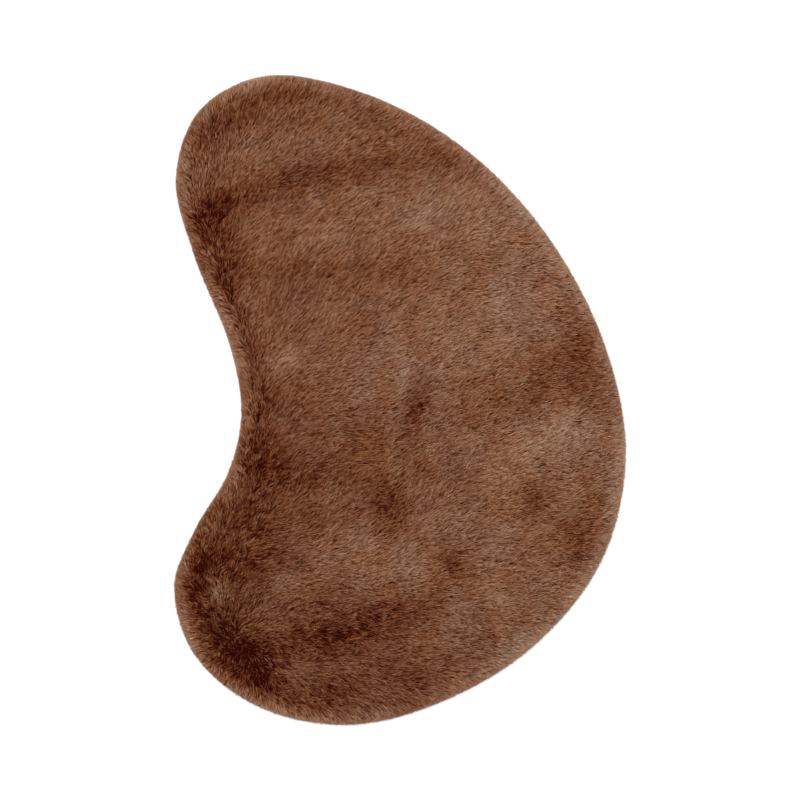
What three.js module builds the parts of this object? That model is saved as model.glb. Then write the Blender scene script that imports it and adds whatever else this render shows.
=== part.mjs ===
// Faux fur rug in a rounded kidney shape, lying flat with its pile up.
// Millimetres, +Z up. The origin lies on the floor under the middle of the rug's box. +Y runs
// along the rug towards its narrow lobe, and +X points away from the bay in its side.
// The rug is one piece of fur cloth: a flat sole, a lumpy pile, and a rim of fur locks that
// fan outwards and droop to the floor.
import * as THREE from 'three';

// Driving sizes
const RUG_LENGTH = 1300;
const RUG_WIDTH = 904;
const PILE_HEIGHT = 24;
const LOCK_PITCH = 12.5;
const MESH_PITCH = 24;

// Outline, seen from above and clockwise from the crown of the narrow lobe. Each point is a
// share of half the width across and half the length along; a smooth closed curve joins them.
const OUTLINE = [
  { at: 'crown of the narrow lobe', across: -0.504, along: 1.000 },
  { at: 'slope to the right', across: -0.066, along: 0.919 },
  { at: 'upper right shoulder', across: 0.327, along: 0.752 },
  { at: 'right side, upper', across: 0.663, along: 0.496 },
  { at: 'right side, above the widest', across: 0.909, along: 0.166 },
  { at: 'widest on the right', across: 1.000, along: -0.174 },
  { at: 'right side, below the widest', across: 0.891, along: -0.497 },
  { at: 'lower right shoulder', across: 0.579, along: -0.765 },
  { at: 'slope to the foot', across: 0.150, along: -0.939 },
  { at: 'foot of the broad lobe', across: -0.243, along: -1.000 },
  { at: 'lower left shoulder', across: -0.634, along: -0.942 },
  { at: 'left of the broad lobe', across: -0.914, along: -0.780 },
  { at: 'widest on the left, below the bay', across: -1.000, along: -0.569 },
  { at: 'bay, lower turn', across: -0.911, along: -0.400 },
  { at: 'bay, lower flank', across: -0.763, along: -0.223 },
  { at: 'bottom of the bay', across: -0.704, along: -0.043 },
  { at: 'bay, upper flank', across: -0.754, along: 0.165 },
  { at: 'bay, upper turn', across: -0.912, along: 0.442 },
  { at: 'widest on the left, above the bay', across: -0.993, along: 0.677 },
  { at: 'left of the narrow lobe', across: -0.907, along: 0.874 },
  { at: 'left of the crown', across: -0.726, along: 0.971 },
];

// Middle line of the rug, an arc round the bay from the broad lobe into the narrow one, in
// degrees from +X. The rings of the pile close in on it.
const MIDDLE_ARC = { x: -700, y: -100, radius: 725, from: -17, to: 43 };

// Section through the rim, from the floor up over a lock to the flat of the pile. A row gives
// how far it lies inside the outline and how high, on the crest of a lock and in the cleft
// between two locks. Scatter is how far the lock's own reach, lean and height count there.
const SOLE_INSET = 15;
const RIM_SECTION = [
  { at: 'tip', crestInset: 0, crestHeight: 3, cleftInset: 7, cleftHeight: 5.5, scatter: 1 },
  { at: 'belly', crestInset: 5, crestHeight: 12.5, cleftInset: 10, cleftHeight: 11, scatter: 0.7 },
  { at: 'shoulder', crestInset: 15, crestHeight: 20.5, cleftInset: 18, cleftHeight: 18.5, scatter: 0.4 },
];
const ROOT_INSET = 34;
const LOCK_REACH_SCATTER = 4;
const LOCK_LEAN_SCATTER = 4.5;
const LOCK_HEIGHT_SCATTER = 1.2;

// Tufts in the nap: low waves that cross at odd angles, so that they never line up.
const TUFT_WAVES = [
  { length: 74, heading: 68, height: 0.8 },
  { length: 97, heading: 104, height: 0.9 },
  { length: 88, heading: 23, height: 0.5 },
  { length: 151, heading: -38, height: 0.7 },
];

// Hollows and swells in the nap, where the pile is pressed down, parts or stands up. The spot is
// a soft oval: half its size along and across its own axis, the turn of that axis from +X in
// degrees, and how far the pile rises there.
const NAP_SPOTS = [
  { at: 'under the crown, left', x: -362, y: 370, half: 62, across: 38, turn: 70, rise: -4.5 },
  { at: 'narrow lobe, left flank', x: -345, y: 258, half: 50, across: 30, turn: 110, rise: -3 },
  { at: 'fold across the narrow lobe', x: -262, y: 436, half: 105, across: 26, turn: 22, rise: -2.5 },
  { at: 'fold, right end', x: -115, y: 478, half: 90, across: 30, turn: 5, rise: -1.2 },
  { at: 'behind the crown rim', x: -300, y: 590, half: 95, across: 24, turn: 25, rise: -2.5 },
  { at: 'beside the bay, above', x: -300, y: 130, half: 75, across: 26, turn: 105, rise: -2.2 },
  { at: 'beside the bay', x: -268, y: -10, half: 60, across: 32, turn: 90, rise: -2.5 },
  { at: 'beside the bay, below', x: -280, y: -130, half: 75, across: 42, turn: 88, rise: -4 },
  { at: 'broad lobe, upper left', x: -305, y: -245, half: 80, across: 50, turn: 60, rise: -3 },
  { at: 'broad lobe, left', x: -398, y: -350, half: 70, across: 34, turn: 95, rise: -4 },
  { at: 'broad lobe, lower left', x: -318, y: -500, half: 95, across: 48, turn: 130, rise: -5 },
  { at: 'fold across the broad lobe', x: -120, y: -452, half: 130, across: 36, turn: 14, rise: -3.5 },
  { at: 'foot, left', x: -140, y: -590, half: 50, across: 32, turn: 0, rise: -3 },
  { at: 'foot, middle', x: 15, y: -550, half: 50, across: 38, turn: 120, rise: -1.8 },
  { at: 'dent in the middle', x: -35, y: -205, half: 50, across: 30, turn: 110, rise: -3.5 },
  { at: 'short parting in the middle', x: 24, y: -30, half: 50, across: 18, turn: 80, rise: -3 },
  { at: 'small dent, lower right', x: 95, y: -325, half: 35, across: 24, turn: 110, rise: -2.2 },
  { at: 'small dent, right', x: 268, y: -195, half: 42, across: 22, turn: 95, rise: -2.2 },
  { at: 'dent by the right rim', x: 342, y: -262, half: 48, across: 26, turn: 115, rise: -2.2 },
  { at: 'right side, above the widest', x: 360, y: 95, half: 65, across: 34, turn: 95, rise: -2.6 },
  { at: 'right of the middle', x: 262, y: 45, half: 60, across: 40, turn: 80, rise: -1.5 },
  { at: 'swell, upper right', x: 120, y: 375, half: 130, across: 55, turn: -20, rise: 2 },
  { at: 'swell by the bay', x: -228, y: 80, half: 42, across: 26, turn: 5, rise: 2 },
  { at: 'swell, narrow lobe', x: -270, y: 512, half: 85, across: 40, turn: 15, rise: 1.6 },
  { at: 'swell, right', x: 300, y: -75, half: 95, across: 50, turn: 20, rise: 2 },
  { at: 'ridge in the middle', x: -8, y: 65, half: 60, across: 26, turn: 100, rise: 1.5 },
  { at: 'ridge right of the middle', x: 75, y: 130, half: 75, across: 36, turn: 115, rise: 1.3 },
  { at: 'swell, far right', x: 275, y: 170, half: 60, across: 42, turn: 120, rise: 1.4 },
  { at: 'swell above the lower fold', x: -70, y: -338, half: 110, across: 38, turn: 5, rise: 1.8 },
  { at: 'ridge above the lower fold', x: -232, y: -372, half: 52, across: 24, turn: 18, rise: 2.2 },
];

// How finely the curves are read before points are spread on them, and the innermost rings of
// the pile and of the sole, as shares of the way in to the middle line
const CURVE_SAMPLES = 900;
const LAST_RING_SHARE = 0.92;
const SOLE_RING_SHARE = 0.35;
const SOLE_RING_POINTS = 20;

const FUR_COLOR = 0x744b36;
const FUR_ROUGHNESS = 0.95;

// A fixed scatter between -1 and 1 for the given lock and trait.
function scatter(lock, trait) {
  const wave = Math.sin(lock * 12.9898 + trait * 78.233) * 43758.5453;
  return 2 * (wave - Math.floor(wave)) - 1;
}

// Closed ring of points spread evenly along a closed line. Each point keeps its turn: the share
// of the way round the line at which it lies.
function spread(line, count) {
  const closed = [...line, line[0]];
  const walked = [0];
  for (let i = 1; i < closed.length; i++) {
    walked.push(walked[i - 1] + closed[i].distanceTo(closed[i - 1]));
  }
  const total = walked[walked.length - 1];
  const ring = [];
  let step = 0;
  for (let k = 0; k < count; k++) {
    const goal = (total * k) / count;
    while (walked[step + 1] < goal) step++;
    const share = (goal - walked[step]) / (walked[step + 1] - walked[step]);
    const point = closed[step].clone().lerp(closed[step + 1], share);
    point.turn = (step + share) / line.length;
    ring.push(point);
  }
  return ring;
}

function lineLength(line) {
  return line.reduce((sum, point, i) => sum + point.distanceTo(line[(i + 1) % line.length]), 0);
}

// The outline as a fine closed line, anticlockwise from above.
function outlineLine() {
  const points = OUTLINE.map(
    ({ across, along }) => new THREE.Vector2((across * RUG_WIDTH) / 2, (along * RUG_LENGTH) / 2),
  );
  const corners = points.reverse().map((point) => new THREE.Vector3(point.x, point.y, 0));
  const curve = new THREE.CatmullRomCurve3(corners, true, 'centripetal');
  const line = curve.getPoints(CURVE_SAMPLES).slice(0, -1);
  return spread(line, CURVE_SAMPLES);
}

// The given point of an anticlockwise ring, moved inwards square to the ring.
function insetPoint(ring, i, inset) {
  const before = ring[(i + ring.length - 1) % ring.length];
  const after = ring[(i + 1) % ring.length];
  const forward = after.clone().sub(before).normalize();
  const moved = ring[i].clone().add(new THREE.Vector3(-forward.y, forward.x, 0).multiplyScalar(inset));
  moved.turn = ring[i].turn;
  return moved;
}

// Height of the pile's upper face over the floor, away from the rim.
function pileHeight(x, y) {
  let height = PILE_HEIGHT;
  for (const { length, heading, height: rise } of TUFT_WAVES) {
    const turn = THREE.MathUtils.degToRad(heading);
    height += rise * Math.sin((2 * Math.PI * (x * Math.cos(turn) + y * Math.sin(turn))) / length);
  }
  for (const spot of NAP_SPOTS) {
    const turn = THREE.MathUtils.degToRad(spot.turn);
    const along = ((x - spot.x) * Math.cos(turn) + (y - spot.y) * Math.sin(turn)) / spot.half;
    const across = ((y - spot.y) * Math.cos(turn) - (x - spot.x) * Math.sin(turn)) / spot.across;
    height += spot.rise * Math.exp(-(along * along + across * across));
  }
  return height;
}

// One ring of the rim: crests and clefts take turns, and every lock has its own reach, lean
// and height.
function rimRing(outline, row, lockCount) {
  const ring = spread(outline, 2 * lockCount);
  return ring.map((point, i) => {
    const lock = Math.floor(i / 2);
    const onCrest = i % 2 === 0;
    const short = (LOCK_REACH_SCATTER * (1 + scatter(i, 1)) * row.scatter) / 2;
    const inset = onCrest ? row.crestInset + short : row.cleftInset - short / 2;
    const placed = insetPoint(ring, i, inset);
    if (onCrest) {
      const sideways = ring[(i + 1) % ring.length].clone().sub(point).normalize();
      placed.addScaledVector(sideways, LOCK_LEAN_SCATTER * scatter(lock, 2) * row.scatter);
    }
    const lift = onCrest ? LOCK_HEIGHT_SCATTER * scatter(lock, 3) * (1 - row.scatter) : 0;
    const height = onCrest ? row.crestHeight : row.cleftHeight;
    placed.z = (height * pileHeight(placed.x, placed.y)) / PILE_HEIGHT + lift;
    return placed;
  });
}

// The nearest point of the middle line for each point of a ring.
function middlePoints(ring) {
  const { x, y, radius, from, to } = MIDDLE_ARC;
  return ring.map((point) => {
    const heading = THREE.MathUtils.radToDeg(Math.atan2(point.y - y, point.x - x));
    const turn = THREE.MathUtils.degToRad(THREE.MathUtils.clamp(heading, from, to));
    return new THREE.Vector3(x + radius * Math.cos(turn), y + radius * Math.sin(turn), 0);
  });
}

// A ring that lies the given share of the way from the root line to the middle line.
function ringBetween(rootLine, middle, share, count) {
  const line = rootLine.map((point, i) => point.clone().lerp(middle[i], share));
  return spread(line, count ?? Math.round(lineLength(line) / MESH_PITCH));
}

// Triangles between two rings. Each step goes on along the ring whose next point comes first in
// the walk round the rug.
function stitch(first, second, firstStart, secondStart, triangles) {
  const nextTurn = (ring, i) => (i + 1 < ring.length ? ring[i + 1].turn : 1);
  let i = 0;
  let j = 0;
  while (i < first.length || j < second.length) {
    const a = firstStart + (i % first.length);
    const b = secondStart + (j % second.length);
    const firstEnded = i >= first.length;
    const secondEnded = j >= second.length;
    if (!firstEnded && (secondEnded || nextTurn(first, i) <= nextTurn(second, j))) {
      i++;
      triangles.push(a, firstStart + (i % first.length), b);
    } else {
      j++;
      triangles.push(a, secondStart + (j % second.length), b);
    }
  }
}

// Closes a long narrow ring with a strip of faces that look up or down. It starts at the ring's
// upper end and steps down on the side where the next edge across is the shorter one.
function closeRing(ring, start, facesUp, triangles) {
  let left = 0;
  let right = ring.length - 1;
  while (right - left > 1) {
    const fromRight = ring[left + 1].distanceTo(ring[right]);
    const fromLeft = ring[left].distanceTo(ring[right - 1]);
    const next = fromRight <= fromLeft ? left + 1 : right - 1;
    if (facesUp) triangles.push(start + left, start + next, start + right);
    else triangles.push(start + left, start + right, start + next);
    if (next === left + 1) left = next;
    else right = next;
  }
}

// Closed skin through a chain of rings, from the middle of the sole out to the rim and back over
// the pile to the middle line.
function skin(rings) {
  const starts = [];
  const points = [];
  for (const ring of rings) {
    starts.push(points.length);
    points.push(...ring);
  }
  const triangles = [];
  closeRing(rings[0], starts[0], false, triangles);
  for (let k = 0; k + 1 < rings.length; k++) {
    stitch(rings[k], rings[k + 1], starts[k], starts[k + 1], triangles);
  }
  const last = rings.length - 1;
  closeRing(rings[last], starts[last], true, triangles);
  const geometry = new THREE.BufferGeometry().setFromPoints(points);
  geometry.setIndex(triangles);
  return geometry;
}

// Brings the rug to its exact length and width, which the uneven locks leave a little short,
// and centres it on the origin.
function fitToSize(geometry) {
  geometry.computeBoundingBox();
  const { min, max } = geometry.boundingBox;
  geometry.translate(-(min.x + max.x) / 2, -(min.y + max.y) / 2, 0);
  geometry.scale(RUG_WIDTH / (max.x - min.x), RUG_LENGTH / (max.y - min.y), 1);
  return geometry;
}

function furRugGeometry() {
  const outline = outlineLine();
  const lockCount = Math.round(lineLength(outline) / LOCK_PITCH);
  const soleLine = outline.map((_, i) => insetPoint(outline, i, SOLE_INSET));
  const rootLine = outline.map((_, i) => insetPoint(outline, i, ROOT_INSET));
  const middle = middlePoints(rootLine);

  const soleRings = [
    ringBetween(soleLine, middlePoints(soleLine), SOLE_RING_SHARE, SOLE_RING_POINTS),
    spread(soleLine, lockCount),
  ];
  const rimRings = RIM_SECTION.map((row) => rimRing(outline, row, lockCount));
  const widest = Math.max(...rootLine.map((point, i) => point.distanceTo(middle[i])));
  const ringCount = Math.round(widest / MESH_PITCH);
  const pileRings = [spread(rootLine, lockCount)];
  for (let k = 1; k <= ringCount; k++) {
    pileRings.push(ringBetween(rootLine, middle, (LAST_RING_SHARE * k) / ringCount));
  }
  for (const point of pileRings.flat()) point.z = pileHeight(point.x, point.y);
  return fitToSize(skin([...soleRings, ...rimRings, ...pileRings]));
}

const fur = new THREE.MeshStandardMaterial({
  color: FUR_COLOR,
  roughness: FUR_ROUGHNESS,
  metalness: 0,
});
const furRug = new THREE.Mesh(furRugGeometry(), fur);
furRug.name = 'fur_rug';

const rug = new THREE.Group();
rug.add(furRug);

export default rug;
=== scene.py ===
"""A kidney-shaped faux fur rug: its pelt, the nap that lies over it and the fur of its rim."""

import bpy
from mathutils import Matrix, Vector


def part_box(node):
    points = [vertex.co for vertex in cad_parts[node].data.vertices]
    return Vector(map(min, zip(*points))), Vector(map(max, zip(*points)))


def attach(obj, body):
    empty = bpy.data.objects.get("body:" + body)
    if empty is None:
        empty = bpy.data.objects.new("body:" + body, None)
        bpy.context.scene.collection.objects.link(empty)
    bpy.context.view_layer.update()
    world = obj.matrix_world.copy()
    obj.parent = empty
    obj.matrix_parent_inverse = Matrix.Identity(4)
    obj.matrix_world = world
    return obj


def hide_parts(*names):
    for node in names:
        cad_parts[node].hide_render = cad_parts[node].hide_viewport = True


bl_info = {
    "name": "Kidney Fur Rug",
    "version": (1, 0, 0),
    "blender": (4, 5, 0),
    "location": "3D View > Sidebar > Fur Rug",
    "description": "Makes the pelt, nap and rim fur of a flat kidney-shaped faux fur rug",
    "category": "Object",
}

import bpy
import numpy as np
from mathutils import Vector

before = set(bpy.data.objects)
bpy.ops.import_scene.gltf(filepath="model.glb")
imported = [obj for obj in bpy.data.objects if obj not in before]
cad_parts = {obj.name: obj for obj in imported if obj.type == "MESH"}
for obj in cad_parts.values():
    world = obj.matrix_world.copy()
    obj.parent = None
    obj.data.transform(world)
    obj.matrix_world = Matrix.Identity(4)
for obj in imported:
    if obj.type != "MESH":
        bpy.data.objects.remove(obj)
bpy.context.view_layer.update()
RUG_NODE = "fur_rug"
RUG_LOW, RUG_HIGH = (np.array(corner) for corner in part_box(RUG_NODE))

# Lengths below are in millimetres and angles in degrees, unless a comment says otherwise
MM = 0.001

# Outline from above, clockwise from the crown of the narrow lobe: shares of half the rug's
# width across and half its length along. A smooth closed curve joins the points.
OUTLINE = (
    (-0.504, 1.000),
    (-0.066, 0.919),
    (0.327, 0.752),
    (0.663, 0.496),
    (0.909, 0.166),
    (1.000, -0.174),
    (0.891, -0.497),
    (0.579, -0.765),
    (0.150, -0.939),
    (-0.243, -1.000),
    (-0.634, -0.942),
    (-0.914, -0.780),
    (-1.000, -0.569),
    (-0.911, -0.400),
    (-0.763, -0.223),
    (-0.704, -0.043),
    (-0.754, 0.165),
    (-0.912, 0.442),
    (-0.993, 0.677),
    (-0.907, 0.874),
    (-0.726, 0.971),
)

# Middle line of the rug, an arc round the bay: centre, radius and the headings of its ends
MIDDLE_ARC = {"x": -700, "y": -100, "radius": 725, "start": -17, "end": 43}

# Low tufts in the nap: waves as (length, heading, height)
TUFT_WAVES = (
    (74, 68, 0.8),
    (97, 104, 0.9),
    (88, 23, 0.5),
    (151, -38, 0.7),
)

# Hollows and swells in the nap, as soft ovals: (x, y, half its length, half its width, turn of
# its axis, rise of the pile, and shade: below 0 painted shade in a hollow, with the darker roots
# that show there, above 0 painted light on a swell). Places and shades were corrected in rounds,
# where the fur measured lighter or darker than the photo's.
NAP_SPOTS = (
    # Narrow lobe
    (-290, 628, 50, 16, 12, 0, 0.3),
    (-358, 598, 50, 16, 40, 0, 0.1),
    (-195, 600, 60, 18, 10, 0, -0.2),
    (-300, 575, 90, 26, 30, -2.5, -0.58),
    (-225, 542, 50, 28, 30, 0, -0.35),
    (-180, 568, 40, 20, 0, 0, 0.2),
    (-60, 572, 150, 28, -10, 0, -0.28),
    (60, 540, 50, 14, -25, 0, 0.15),
    (-370, 520, 50, 30, 60, 0, -0.2),
    (-270, 505, 80, 34, 15, 1.6, 0.15),
    (62, 502, 76, 22, -25, 0, -0.28),
    (-410, 495, 50, 22, 90, 0, -0.18),
    (30, 460, 100, 32, -4, 0, -0.36),
    (-222, 427, 80, 28, 18, -2.5, -0.5),
    (-115, 446, 100, 30, 8, -1.2, -0.35),
    (160, 440, 50, 20, -35, 0, -0.15),
    (-345, 420, 26, 18, 0, 0, 0.25),
    (-305, 402, 40, 18, 20, 0, -0.35),
    (-370, 368, 44, 28, 50, -4.5, -1.3),
    (120, 375, 130, 50, -20, 2, 0.3),
    # Between the narrow lobe and the bay
    (-352, 330, 24, 18, 60, 0, -0.3),
    (-150, 320, 60, 26, 5, 0, 0.25),
    (-5, 335, 60, 26, 10, 0, 0.15),
    (-382, 288, 50, 22, 75, 0, -0.45),
    (-330, 270, 50, 26, 110, -3, -0.55),
    (-234, 238, 50, 26, 0, 0, -0.25),
    (-90, 248, 120, 26, 2, 0, -0.24),
    (-355, 190, 70, 14, 72, 0, -0.15),
    (-235, 195, 90, 46, 100, 0, -0.15),
    (28, 184, 40, 26, 0, 0, 0.1),
    (225, 215, 70, 40, 110, 0, 0.15),
    (186, 160, 60, 40, 110, 0, 0.36),
    (275, 170, 60, 42, 120, 1.4, 0.12),
    (368, 148, 30, 26, 90, 0, -0.2),
    (70, 124, 70, 36, 115, 1.3, 0.22),
    # Beside the bay, and across from it
    (-310, 66, 30, 14, 95, 0, 0.2),
    (-236, 72, 38, 20, 20, 2, 0.5),
    (-180, 60, 36, 24, 0, 0, 0.25),
    (-8, 65, 60, 26, 100, 1.5, 0.3),
    (256, 88, 40, 26, 90, 0, -0.2),
    (345, 92, 80, 38, 98, -2.6, -0.48),
    (-60, 40, 60, 40, 90, 0, 0.15),
    (270, 30, 70, 36, 60, -1.5, -0.4),
    (395, 55, 40, 26, 95, 0, -0.2),
    (-304, 18, 30, 14, 95, 0, -0.35),
    (-268, -20, 40, 24, 90, -2.5, -0.25),
    (185, 0, 40, 26, 90, 0, -0.2),
    (335, 5, 50, 24, 0, 0, -0.2),
    (412, 0, 40, 24, 90, 0, -0.35),
    (-308, -40, 80, 14, 92, 0, -0.28),
    (-160, -25, 110, 34, -12, 0, -0.18),
    (20, -32, 46, 20, 80, -3, -0.85),
    (134, -30, 34, 20, 100, 0, -0.2),
    # Between the bay and the broad lobe
    (-75, -85, 50, 28, 0, 0, -0.25),
    (235, -100, 66, 44, 30, 0, 0.22),
    (300, -75, 95, 50, 20, 2, 0.3),
    (-322, -120, 40, 14, 85, 0, 0.15),
    (-274, -122, 60, 32, 88, -4, -0.85),
    (434, -120, 60, 16, 90, 0, 0.2),
    (-215, -165, 36, 24, 0, 0, -0.3),
    (-165, -152, 88, 42, -8, 0, -0.4),
    (-40, -150, 40, 24, 0, 0, 0.2),
    (30, -142, 56, 26, -30, 0, -0.26),
    (-350, -190, 80, 16, 58, 0, -0.2),
    (-35, -207, 54, 34, 110, -3.5, -0.8),
    (253, -206, 32, 19, 95, -2.2, -0.62),
    (384, -212, 34, 18, 100, 0, -0.18),
    (-312, -258, 50, 32, 60, 0, -0.25),
    (-305, -235, 70, 44, 60, -3, -0.5),
    (-192, -245, 40, 24, 0, 0, -0.2),
    (-50, -245, 40, 24, 110, 0, -0.3),
    (185, -250, 60, 34, 10, 0, 0.2),
    (415, -250, 30, 16, 100, 0, 0.12),
    (-385, -262, 30, 16, 70, 0, -0.25),
    (-105, -292, 80, 36, 8, 1.8, 0.33),
    (70, -262, 50, 26, 0, 0, 0.15),
    (342, -270, 48, 26, 115, -2.2, -0.55),
    (35, -300, 50, 30, 0, 0, 0.16),
    # Broad lobe
    (-425, -320, 40, 16, 75, 0, 0.35),
    (-392, -335, 55, 26, 80, -4, -0.55),
    (-300, -330, 80, 42, 25, 0, -0.6),
    (95, -325, 35, 24, 110, -2.2, -0.52),
    (335, -320, 40, 26, 120, 0, -0.25),
    (-242, -368, 30, 16, 20, 0, 0.4),
    (-10, -345, 66, 24, 5, 0, 0.3),
    (-388, -410, 40, 16, 105, -2, -0.6),
    (-362, -388, 26, 20, 80, 0, 0.85),
    (-195, -405, 50, 30, 0, 0, -0.25),
    (-42, -420, 72, 26, 5, 0, -0.42),
    (200, -400, 130, 60, 15, 0, 0.1),
    (345, -385, 60, 24, 55, 0, 0.3),
    (-414, -455, 60, 22, 108, 0, 0.3),
    (-266, -454, 30, 16, 20, 0, 0.15),
    (-200, -450, 40, 24, 0, 0, -0.3),
    # Foot
    (-356, -468, 42, 20, 125, -2, -0.55),
    (-118, -474, 125, 38, 12, -3.5, -0.88),
    (145, -488, 55, 26, 20, 0, -0.12),
    (215, -490, 80, 24, 30, 0, 0.22),
    (-335, -525, 24, 16, 130, 0, -0.35),
    (-303, -510, 30, 22, 130, -2, -0.5),
    (-228, -528, 36, 20, 20, 0, 0.3),
    (-275, -545, 30, 22, 140, -3, -0.75),
    (-114, -572, 40, 24, 0, 0, -0.25),
    (0, -540, 110, 34, 5, 0, -0.15),
    (15, -550, 50, 38, 120, -1.8, -0.4),
    (-268, -602, 60, 20, -25, 0, 0.38),
    (-165, -588, 55, 28, 0, -3, -0.65),
    (-5, -596, 60, 18, 0, 0, -0.2),
    (-205, -622, 50, 16, -12, 0, 0.3),
)

# Which way the nap lies, as (x, y, heading of the hair's tip), mostly close to the streaks
# measured in the photo. Between the places it turns smoothly, each one counting over about
# NAP_REACH.
NAP_REACH = 70
NAP_HEADINGS = (
    (-390, 480, 86),
    (-330, 580, 72),
    (-240, 560, 62),
    (-150, 560, 40),
    (-50, 540, 28),
    (60, 480, 34),
    (-330, 430, 50),
    (-240, 440, 25),
    (-110, 440, 26),
    (-340, 340, 55),
    (-240, 300, 44),
    (-130, 330, 40),
    (0, 380, 34),
    (110, 400, 42),
    (200, 330, 15),
    (290, 270, 4),
    (-280, 190, 52),
    (-190, 170, 48),
    (-90, 210, 42),
    (30, 230, 28),
    (140, 220, 14),
    (260, 170, 0),
    (360, 120, 6),
    (-250, 60, 42),
    (-150, 60, 24),
    (-40, 90, 20),
    (80, 60, 24),
    (190, 60, 22),
    (300, 40, 3),
    (400, 0, 12),
    (-270, -60, 52),
    (-180, -60, 20),
    (-90, -70, -3),
    (10, -30, 32),
    (120, -50, 28),
    (230, -60, 20),
    (350, -70, 17),
    (-270, -160, 60),
    (-180, -170, 42),
    (-80, -170, 32),
    (20, -190, 42),
    (130, -200, 24),
    (250, -190, 12),
    (360, -210, 10),
    (-340, -250, 60),
    (-240, -270, 12),
    (-130, -290, 24),
    (-20, -290, 26),
    (100, -310, 18),
    (220, -330, 9),
    (330, -340, 4),
    (-330, -360, 52),
    (-230, -380, 8),
    (-110, -390, 6),
    (10, -410, 2),
    (130, -430, -2),
    (250, -430, 0),
    (-400, -400, 150),
    (-380, -490, 205),
    (-310, -450, 40),
    (-210, -470, 16),
    (-90, -490, 6),
    (40, -520, 4),
    (150, -520, -2),
    (-320, -560, 235),
    (-230, -570, -28),
    (-110, -590, -30),
    (20, -590, -8),
)

# Section through the pelt's rim, from the floor up: how far inside the outline, and how high
PELT_SECTION = (
    (15, 0),
    (11.5, 1.5),
    (9.5, 4.5),
    (9.5, 7.5),
    (11.5, 10.5),
    (15, 13),
    (20, 14.8),
    (27, 15.8),
)
# Its top: how far inside the outline it starts, how deep it lies under the nap, its grid, and
# what share of the way to the middle line it goes
PELT_ROOT_INSET = 34
PELT_DEPTH = 8
PELT_COLUMNS = 720
PELT_ROWS = 36
PELT_LAST_SHARE = 0.985
# The streaks on its top: their heading, stretch along it and width, and how high they stand
PELT_HEADING = 25
PELT_STREAKS = {"heading": PELT_HEADING, "stretch": 2.2, "size": 6}
PELT_ROUGHNESS = 0.5

# Height of the roots and of the fur's top over the floor, by how far inside the outline
ROOT_PROFILE = {"inset": (8, 11, 15, 20, 27, 36), "height": (5, 10, 12.5, 14, 15, 15.5)}
TOP_PROFILE = {"inset": (-3, 0, 3, 8, 15, 24, 36), "height": (2, 6.5, 11, 16.5, 20.5, 23, 24)}

# Hair on the side of the rim from the floor up: how far inside the outline and how high its
# root and its tip are
RIM_HAIR = {
    "share": (0.0, 0.25, 0.5, 0.75, 1.0),
    "root_inset": (13, 10, 11, 16, 25),
    "root_height": (2, 5, 9, 12.5, 14.8),
    "tip_inset": (2.5, 1.4, 1.6, 3, 9),
    "tip_height": (0.8, 3, 7, 11.5, 18),
}

# The rim's hair fans outwards. Half the turn from the nap is done FAN_FROM inside the outline, or
# up to FAN_WIDENS further in where the nap lies against it. It takes FAN_BAND times that distance
# to either side.
FAN_FROM = 12
FAN_WIDENS = 26
FAN_BAND = 1.6

# Where the nap lies almost straight against the rim's hair, from PARTS_FROM to PARTS_BY of a half
# turn, the two part along a line a little inside the middle of the turn. The mean of their
# directions counts as at least LEAST_LEAN long.
PARTS_FROM = 0.74
PARTS_BY = 0.92
PARTING = {"place": 1.15, "half_width": 12, "sharpness": 1.5, "lift": 0.45}
LEAST_LEAN = 0.15

# Locks of the rim's hair: size of the noise that leans them, the step over which they gather,
# and how far they reach into the nap
LOCK_SIZE = 4
LOCK_STEP = 1.5
LOCK_REACH = 30

# Tone of the fur, 0 dark to 1 light: in the middle, its rise across and along the rug as painted
# light, how much a spot's painted shade and light counts, how much painted shade darkens upright
# hair, the darkest, and where shade ends
TONE = {
    "middle": 0.382,
    "across": 0.04,
    "along": 0.03,
    "spots": 0.42,
    "upright": 0.32,
    "darkest": -0.12,
    "shade_ends": 0.32,
}

# Clouds in that tone, as (heading, stretch along it, size, strength)
CLOUDS = (
    (25, 2.2, 16, 0.034),
    (100, 1.6, 36, 0.050),
)

# How far a tuft's root may move, as a share of the spacing, and how far its hairs' roots spread
ROOT_JITTER = 0.42
NAP_SPREAD = 0.9

# How a tuft of the nap turns, in radians: by chance, in wide swirls, with the rim's locks, and in
# small tangles where the fur is in shade or stands up
NAP_TURN = {
    "scatter": 0.15,
    "swirl": 0.28,
    "swirl_size": 19,
    "lock": 0.28,
    "shade_tangle": 0.8,
    "upright_tangle": 1.2,
    "tangle_size": 9,
}

# Where a tuft of the nap ends: its reach as a share of Hair Reach, how far past the outline its
# tip may come, as mean and scatter, the least outward part of its direction, and the scatter and
# drop of its height
NAP_TIP = {
    "reach": (0.8, 1.15),
    "past_rim": (-1.3, 1.1),
    "least_outward": 0.2,
    "lift": 1.1,
    "drop": 0.3,
}

# How far a tuft's middle bows upwards: a share of its rise, within a range
NAP_BOW = {"share": 0.30, "least": 0.8, "most": 4}

# How much higher the first hair of each tuft lies than the others
TOP_HAIR_LIFT = 1.0

# Tone of the nap's hairs: mottling in the shade, painted light on a tuft that lies high and painted
# shade on one that lies low, scatter between tufts, painted light where the rim's locks gather and
# painted shade in the gaps between them, and painted light on the top hair of a tuft and painted
# shade on those under it. "shade" and "hair" are dark scatters.
NAP_TONE = {
    "mottle": 0.18,
    "mottle_size": 10,
    "lift": 0.045,
    "scatter": 0.03,
    "shade": (0.26, 0.10),
    "locks": 0.14,
    "hair": (0.285, 0.14),
    "top_hair": 0.05,
    "painted_under_shade": -0.02,
}

# How much lighter the fur gets towards the rim, over how wide a band, and how much wider that is
# where the nap lies against the rim's hair
RIM_LIGHTENING = 0.26
LIGHT_BAND = 16
LIGHT_WIDENS = 12

# The share of that lightening in the rim's own hair: at the floor, half way up and at its top
RIM_LIGHT = ((0, 0.5, 1), (0.80, 1.05, 0.30))

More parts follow.
